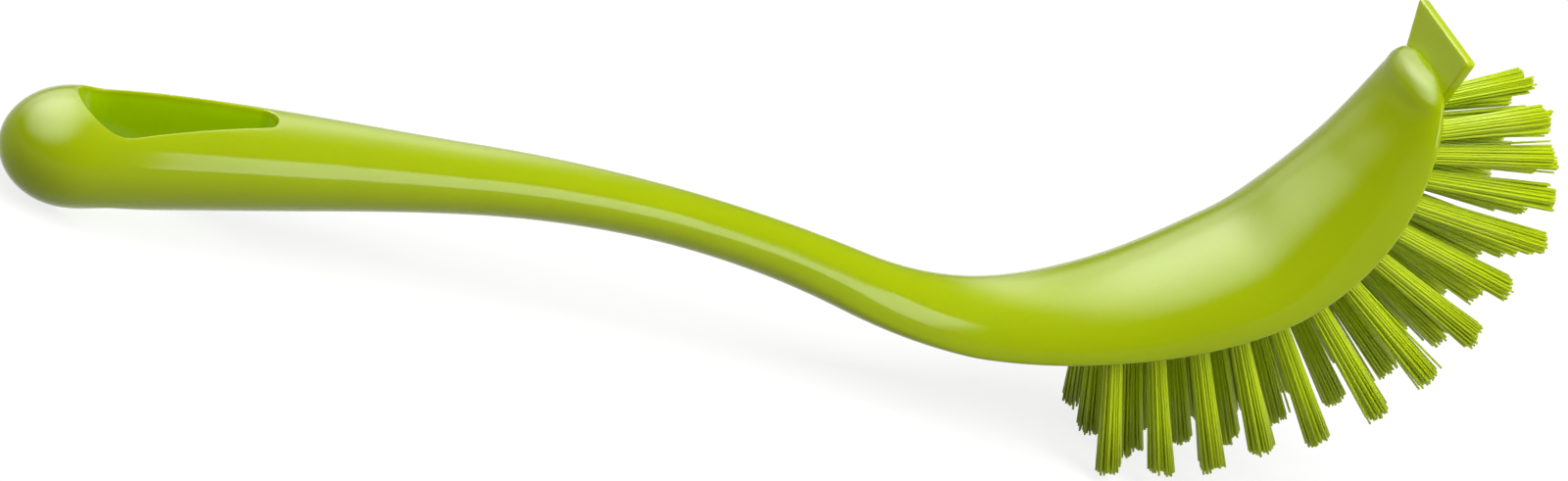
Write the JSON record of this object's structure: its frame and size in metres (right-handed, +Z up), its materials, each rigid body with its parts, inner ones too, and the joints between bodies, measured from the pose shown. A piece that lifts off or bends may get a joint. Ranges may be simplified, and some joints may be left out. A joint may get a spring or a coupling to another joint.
{
  "type": "dish brush",
  "caption": "Slim moulded dish brush with an S-curved handle, teardrop hang hole, curled bristle head and a flat scraper edge at its tip.",
  "frame": {"origin": "on the surface the brush lies on, under the middle of its length and width", "axes": "+X along the brush from the butt of the handle to the head, +Y to the left seen from the butt, +Z up"},
  "size_m": [0.26, 0.0286, 0.0911],
  "materials": {
    "handle_plastic": "glossy injection-moulded lime green polypropylene",
    "bristle_nylon": "straight green filaments with trimmed ends",
    "anchor_wire": "flat galvanised steel wire"
  },
  "bodies": {
    "root": {"handle": "handle_plastic", "tuft_anchors": "anchor_wire", "tuft_left_01": "bristle_nylon", "tuft_left_02": "bristle_nylon", "tuft_left_03": "bristle_nylon", "tuft_left_04": "bristle_nylon", "tuft_left_05": "bristle_nylon", "tuft_left_06": "bristle_nylon", "tuft_left_07": "bristle_nylon", "tuft_left_08": "bristle_nylon", "tuft_left_09": "bristle_nylon", "tuft_left_10": "bristle_nylon", "tuft_left_11": "bristle_nylon", "tuft_left_12": "bristle_nylon", "tuft_mid_left_01": "bristle_nylon", "tuft_mid_left_02": "bristle_nylon", "tuft_mid_left_03": "bristle_nylon", "tuft_mid_left_04": "bristle_nylon", "tuft_mid_left_05": "bristle_nylon", "tuft_mid_left_06": "bristle_nylon", "tuft_mid_left_07": "bristle_nylon", "tuft_mid_left_08": "bristle_nylon", "tuft_mid_left_09": "bristle_nylon", "tuft_mid_left_10": "bristle_nylon", "tuft_mid_left_11": "bristle_nylon", "tuft_mid_left_12": "bristle_nylon", "tuft_mid_left_13": "bristle_nylon", "tuft_mid_right_01": "bristle_nylon", "tuft_mid_right_02": "bristle_nylon", "tuft_mid_right_03": "bristle_nylon", "tuft_mid_right_04": "bristle_nylon", "tuft_mid_right_05": "bristle_nylon", "tuft_mid_right_06": "bristle_nylon", "tuft_mid_right_07": "bristle_nylon", "tuft_mid_right_08": "bristle_nylon", "tuft_mid_right_09": "bristle_nylon", "tuft_mid_right_10": "bristle_nylon", "tuft_mid_right_11": "bristle_nylon", "tuft_mid_right_12": "bristle_nylon", "tuft_right_01": "bristle_nylon", "tuft_right_02": "bristle_nylon", "tuft_right_03": "bristle_nylon", "tuft_right_04": "bristle_nylon", "tuft_right_05": "bristle_nylon", "tuft_right_06": "bristle_nylon", "tuft_right_07": "bristle_nylon", "tuft_right_08": "bristle_nylon", "tuft_right_09": "bristle_nylon", "tuft_right_10": "bristle_nylon", "tuft_right_11": "bristle_nylon", "tuft_right_12": "bristle_nylon", "tuft_right_13": "bristle_nylon"}
  },
  "joints": []
}
